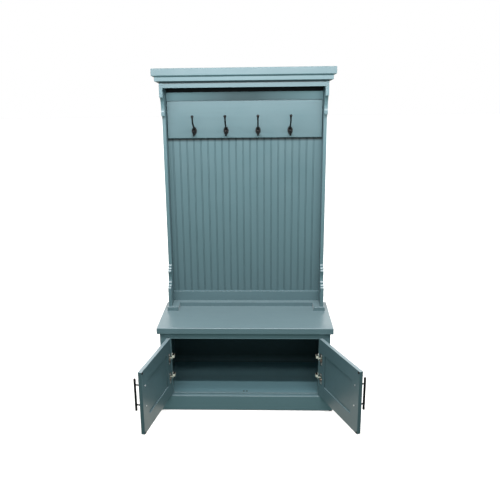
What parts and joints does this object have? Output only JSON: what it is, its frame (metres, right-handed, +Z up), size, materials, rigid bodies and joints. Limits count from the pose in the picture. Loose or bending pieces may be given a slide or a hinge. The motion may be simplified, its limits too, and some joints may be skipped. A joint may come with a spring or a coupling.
{
  "type": "hall tree",
  "caption": "Painted wooden hall tree: a bench cabinet with overlay doors below a beadboard hutch with coat hooks, scroll-cut sides and a moulded cornice.",
  "frame": {"origin": "on the floor under the middle of the cabinet, halfway between its back and its face frame", "axes": "+Z up, -Y towards the person who opens the doors, +X to that person's right"},
  "size_m": [1.1309, 0.8138, 1.829],
  "materials": {
    "teal_paint": "satin paint on wood",
    "black_paint": "matt black paint",
    "bare_wood": "bare softwood",
    "dark_bronze": "oil-rubbed bronze, semi-gloss",
    "black_metal": "satin black",
    "nickel": "nickel plate",
    "black_rubber": "matt",
    "black_plastic": "matt"
  },
  "bodies": {
    "cabinet": {"baseboard_front": "teal_paint", "baseboard_left": "teal_paint", "baseboard_right": "teal_paint", "beadboard_back": "teal_paint", "cabinet_back": "black_paint", "cabinet_floor": "teal_paint", "cabinet_side_left": "teal_paint", "cabinet_side_right": "teal_paint", "centre_support": "bare_wood", "coat_hook_1": "dark_bronze", "coat_hook_2": "dark_bronze", "coat_hook_3": "dark_bronze", "coat_hook_4": "dark_bronze", "crown_moulding": "teal_paint", "face_bottom_rail": "teal_paint", "face_stile_left": "teal_paint", "face_stile_right": "teal_paint", "face_top_rail": "teal_paint", "floor_glides": "black_plastic", "floor_plugs": "black_plastic", "frieze_rail": "teal_paint", "hinge_arm_screws": "nickel", "hinge_arms_left": "nickel", "hinge_arms_right": "nickel", "hook_board": "teal_paint", "hook_screws": "dark_bronze", "hutch_foot_left": "teal_paint", "hutch_foot_right": "teal_paint", "hutch_ledge": "teal_paint", "hutch_screws": "nickel", "lower_back_rail": "teal_paint", "seat": "teal_paint", "side_panel_left": "teal_paint", "side_panel_right": "teal_paint", "top_cap": "teal_paint", "upper_back_band": "teal_paint", "wall_cleat": "black_paint"},
    "left_door": {"left_door_bottom_rail": "teal_paint", "left_door_bumpers": "black_rubber", "left_door_cup_screws": "nickel", "left_door_hinge_cups": "nickel", "left_door_hinge_pins": "nickel", "left_door_hinge_stile": "teal_paint", "left_door_panel": "teal_paint", "left_door_pull": "black_metal", "left_door_pull_screws": "nickel", "left_door_pull_stile": "teal_paint", "left_door_top_rail": "teal_paint"},
    "right_door": {"right_door_bottom_rail": "teal_paint", "right_door_bumpers": "black_rubber", "right_door_cup_screws": "nickel", "right_door_hinge_cups": "nickel", "right_door_hinge_pins": "nickel", "right_door_hinge_stile": "teal_paint", "right_door_panel": "teal_paint", "right_door_pull": "black_metal", "right_door_pull_screws": "nickel", "right_door_pull_stile": "teal_paint", "right_door_top_rail": "teal_paint"}
  },
  "joints": [
    {"name": "left_door_swing", "type": "hinge", "parent": "cabinet", "child": "left_door", "pos_m": [-0.412, -0.2105, 0.258], "axis": [0, 0, -1], "range_deg": [-101, 12]},
    {"name": "right_door_swing", "type": "hinge", "parent": "cabinet", "child": "right_door", "pos_m": [0.412, -0.2105, 0.258], "axis": [0, 0, 1], "range_deg": [-111.5, 1.5]}
  ]
}
